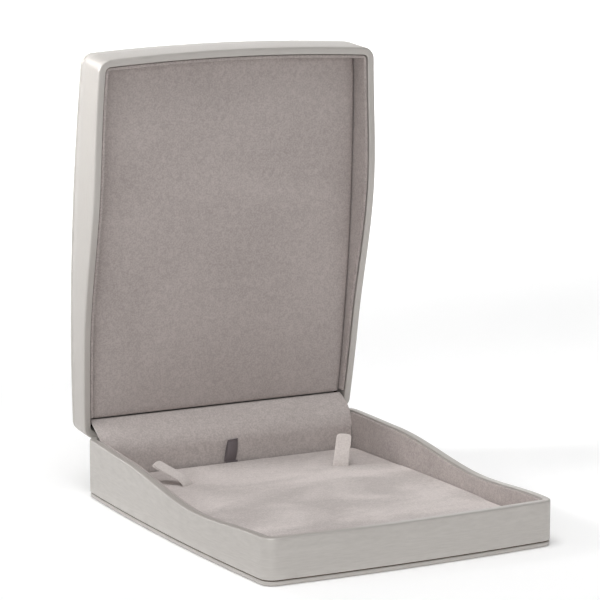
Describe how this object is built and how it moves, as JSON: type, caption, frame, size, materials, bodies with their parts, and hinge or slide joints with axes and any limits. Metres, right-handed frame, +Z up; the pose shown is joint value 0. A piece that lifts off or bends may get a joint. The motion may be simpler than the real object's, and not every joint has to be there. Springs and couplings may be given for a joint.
{
  "type": "necklace presentation case",
  "caption": "Hinged necklace presentation case with a wave-shaped rim, suede pad, neck tabs and a pull ribbon.",
  "frame": {"origin": "middle of the underside of the base board", "axes": "+Z up, +X along the hinge to the right seen from the front, +Y from the front towards the hinge"},
  "size_m": [0.17, 0.2282, 0.2407],
  "materials": {
    "wrap": "satin silver-grey leatherette with a fine grain",
    "lining_suede": "short brushed suede nap",
    "pad_suede": "short brushed suede nap, lighter",
    "ribbon_satin": "satin ribbon with fine ribs",
    "frame_wood": "unfinished board, hidden under the wrap",
    "board_card": "grey-brown card, matte",
    "foam": "open-cell foam, matte",
    "hinge_steel": "rolled steel strip, satin",
    "brad_brass": "plain brass"
  },
  "bodies": {
    "base": {"base_board": "wrap", "base_frame": "frame_wood", "base_wrap": "wrap", "base_lining_left": "lining_suede", "base_lining_right": "lining_suede", "base_lining_front": "lining_suede", "pad_rest": "board_card", "hinge_leaf_base": "hinge_steel", "hinge_pin": "hinge_steel", "hinge_brads_base": "brad_brass", "snap_spring_left": "hinge_steel", "snap_spring_right": "hinge_steel", "hinge_cover": "lining_suede"},
    "lid": {"lid_board": "wrap", "lid_frame": "frame_wood", "lid_wrap": "wrap", "lid_lining_left": "lining_suede", "lid_lining_right": "lining_suede", "lid_lining_front": "lining_suede", "lid_panel_board": "board_card", "lid_panel_foam": "foam", "lid_panel_cover": "lining_suede", "hinge_leaf_lid": "hinge_steel", "hinge_brads_lid": "brad_brass"},
    "pad": {"pad_board": "board_card", "pad_foam": "foam", "pad_cover": "pad_suede", "tab_anchor_left": "pad_suede", "tab_anchor_right": "pad_suede", "ribbon_anchor": "ribbon_satin"},
    "tab_left": {"neck_tab_left": "pad_suede"},
    "tab_right": {"neck_tab_right": "pad_suede"},
    "ribbon": {"pull_ribbon": "ribbon_satin"}
  },
  "joints": [
    {"name": "lid_hinge", "type": "hinge", "parent": "base", "child": "lid", "pos_m": [0, 0.105, 0.0301], "axis": [1, 0, 0], "range_deg": [0, 85], "deforming": ["hinge_cover", "snap_spring_left", "snap_spring_right"]},
    {"name": "pad_lift", "type": "slide", "parent": "base", "child": "pad", "axis": [0, 0, 1], "range_m": [0, 0.004]},
    {"name": "tab_left_fold", "type": "hinge", "parent": "pad", "child": "tab_left", "pos_m": [-0.047, 0.053, 0.01365], "axis": [-0.7071, -0.7071, 0], "range_deg": [-147, 23]},
    {"name": "tab_right_fold", "type": "hinge", "parent": "pad", "child": "tab_right", "pos_m": [0.047, 0.053, 0.01365], "axis": [-0.7071, 0.7071, 0], "range_deg": [-109, 61]},
    {"name": "ribbon_fold", "type": "hinge", "parent": "pad", "child": "ribbon", "pos_m": [0, 0.09345, 0.01365], "axis": [1, 0, 0], "range_deg": [0, 85]}
  ]
}
